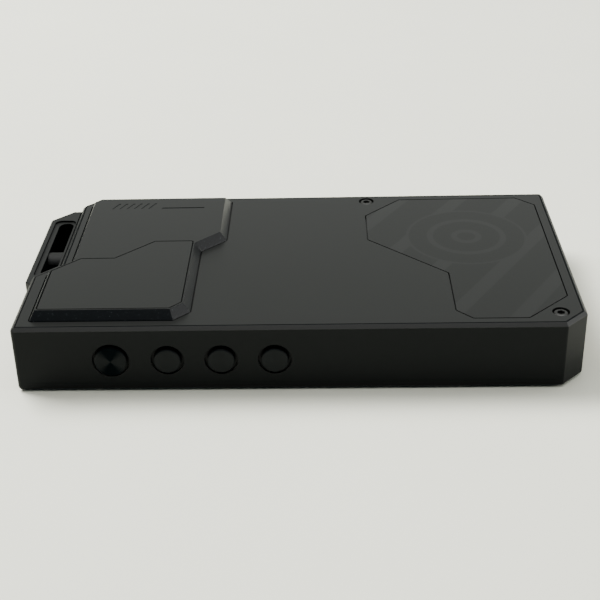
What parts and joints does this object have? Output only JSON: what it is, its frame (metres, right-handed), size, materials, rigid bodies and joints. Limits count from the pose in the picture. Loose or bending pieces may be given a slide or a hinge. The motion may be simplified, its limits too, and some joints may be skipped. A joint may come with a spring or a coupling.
{
  "type": "digital audio player",
  "caption": "Pocket digital audio player: slab case with a glass display, raised antenna cover, lanyard loop, round side keys and headphone sockets.",
  "frame": {"origin": "middle of the underside, where the cover glass rests", "axes": "+Z out of the back of the player, +X towards the end with the sockets, -X the end with the lanyard loop, -Y the side with the power key"},
  "size_m": [0.1296, 0.0698, 0.0186],
  "materials": {
    "case": "fine bead blast, black anodised",
    "plate": "satin black",
    "cover": "satin black, fine glitter on the slopes",
    "screw_black": "black oxide",
    "glass": "polished",
    "adhesive": "matte",
    "lcd": "dark",
    "flex": "amber film",
    "battery": "satin foil",
    "lead": "red insulation",
    "connector": "ivory",
    "board": "solder mask",
    "shield": "tin plated",
    "copper": "bare",
    "gold": "gold plated",
    "capacitor": "blue sleeve",
    "socket": "moulded",
    "steel": "plain",
    "key": "spun face, black anodised",
    "switch": "moulded"
  },
  "bodies": {
    "case": {"frame": "case", "back_plate": "plate", "back_inlay": "plate", "antenna_cover": "cover", "antenna_inlay": "plate", "back_screws": "screw_black", "display_glass": "glass", "display_adhesive": "adhesive", "lcd_module": "lcd", "lcd_flex": "flex", "battery_pack": "battery", "battery_pads": "adhesive", "battery_lead": "lead", "battery_connector": "connector", "main_board": "board", "processor_shield": "shield", "heat_spreader": "copper", "wireless_shield": "shield", "power_shield": "shield", "antenna_flex": "flex", "antenna_pins": "gold", "board_link": "flex", "audio_board": "board", "dac_shield": "shield", "amplifier_shield": "shield", "oscillators": "shield", "audio_capacitors": "capacitor", "headphone_socket": "socket", "headphone_ring": "gold", "balanced_socket": "socket", "balanced_ring": "gold", "usb_port": "steel", "card_socket": "steel", "board_screws": "steel", "right_switches": "switch", "right_key_board": "board", "right_key_bracket": "steel", "left_switches": "switch", "left_key_board": "board", "left_key_bracket": "steel", "bracket_screws": "steel"},
    "power_key": {"power_key": "key"},
    "previous_key": {"previous_key": "key"},
    "play_key": {"play_key": "key"},
    "next_key": {"next_key": "key"},
    "volume_up_key": {"volume_up_key": "key"},
    "volume_down_key": {"volume_down_key": "key"},
    "function_key": {"function_key": "key"}
  },
  "joints": [
    {"name": "power_key_press", "type": "slide", "parent": "case", "child": "power_key", "axis": [0, 1, 0], "range_m": [0, 0.00035], "stiffness_N_per_m": 400, "springref_m": -0.0006},
    {"name": "previous_key_press", "type": "slide", "parent": "case", "child": "previous_key", "axis": [0, 1, 0], "range_m": [0, 0.00035], "stiffness_N_per_m": 400, "springref_m": -0.0006},
    {"name": "play_key_press", "type": "slide", "parent": "case", "child": "play_key", "axis": [0, 1, 0], "range_m": [0, 0.00035], "stiffness_N_per_m": 400, "springref_m": -0.0006},
    {"name": "next_key_press", "type": "slide", "parent": "case", "child": "next_key", "axis": [0, 1, 0], "range_m": [0, 0.00035], "stiffness_N_per_m": 400, "springref_m": -0.0006},
    {"name": "volume_up_key_press", "type": "slide", "parent": "case", "child": "volume_up_key", "axis": [0, -1, 0], "range_m": [0, 0.00035], "stiffness_N_per_m": 400, "springref_m": -0.0006},
    {"name": "volume_down_key_press", "type": "slide", "parent": "case", "child": "volume_down_key", "axis": [0, -1, 0], "range_m": [0, 0.00035], "stiffness_N_per_m": 400, "springref_m": -0.0006},
    {"name": "function_key_press", "type": "slide", "parent": "case", "child": "function_key", "axis": [0, -1, 0], "range_m": [0, 0.00035], "stiffness_N_per_m": 400, "springref_m": -0.0006}
  ]
}
